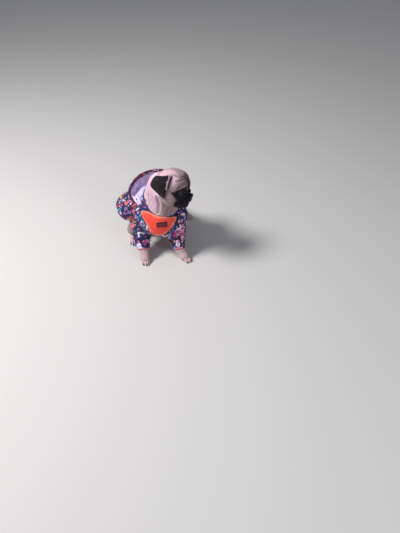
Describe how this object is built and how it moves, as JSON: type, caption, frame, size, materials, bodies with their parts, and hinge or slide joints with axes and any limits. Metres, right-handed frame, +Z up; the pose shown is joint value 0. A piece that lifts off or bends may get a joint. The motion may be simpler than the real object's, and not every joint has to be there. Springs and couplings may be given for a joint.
{
  "type": "pug puppy in a hooded jacket and chest harness",
  "caption": "Seated pug puppy, head turned to its left, folded ears and curled tail, in a hooded jacket with sleeves and a chest-plate harness.",
  "frame": {"origin": "middle of the bounding box's footprint, at floor height", "axes": "+Z up, the chest faces -Y, the dog's own left is +X"},
  "size_m": [0.2164, 0.2722, 0.2679],
  "materials": {
    "coat": "short fawn fur over skin",
    "dark_coat": "short near-black velvety fur",
    "eye": "wet dark brown eye",
    "nose_leather": "pebbled damp nose leather",
    "claw": "dark horn",
    "print_cloth": null,
    "lining": "lavender jersey lining",
    "rib_trim": "pink ribbed trim",
    "hood_binding": "dark bound edge",
    "harness_cloth": "orange-red air-mesh cloth",
    "harness_binding": "salmon bound edge",
    "patch": "bare dark maroon patch",
    "webbing": "woven orange-red webbing",
    "buckle": "black moulded buckle"
  },
  "bodies": {
    "root": {"ear_left": "dark_coat", "ear_right": "dark_coat", "eye_left": "eye", "eye_right": "eye", "foreleg_left": "coat", "foreleg_right": "coat", "forepaw_left": "coat", "forepaw_left_claw_1": "claw", "forepaw_left_claw_2": "claw", "forepaw_left_claw_3": "claw", "forepaw_left_claw_4": "claw", "forepaw_right": "coat", "forepaw_right_claw_1": "claw", "forepaw_right_claw_2": "claw", "forepaw_right_claw_3": "claw", "forepaw_right_claw_4": "claw", "girth_buckle": "buckle", "girth_strap": "webbing", "harness_edge": "harness_binding", "harness_patch": "patch", "harness_plate": "harness_cloth", "head": "coat", "hindleg_left": "coat", "hindleg_right": "coat", "hindpaw_left": "coat", "hindpaw_left_claw_1": "claw", "hindpaw_left_claw_2": "claw", "hindpaw_left_claw_3": "claw", "hindpaw_left_claw_4": "claw", "hindpaw_right": "coat", "hindpaw_right_claw_1": "claw", "hindpaw_right_claw_2": "claw", "hindpaw_right_claw_3": "claw", "hindpaw_right_claw_4": "claw", "hood": "print_cloth", "hood_lining": "lining", "hood_rim": "hood_binding", "jacket_body": "print_cloth", "jacket_cuff_left": "print_cloth", "jacket_cuff_right": "print_cloth", "jacket_hem": "rib_trim", "jacket_sleeve_left": "print_cloth", "jacket_sleeve_right": "print_cloth", "neck": "coat", "nose": "nose_leather", "tail": "coat", "torso": "coat"}
  },
  "joints": []
}
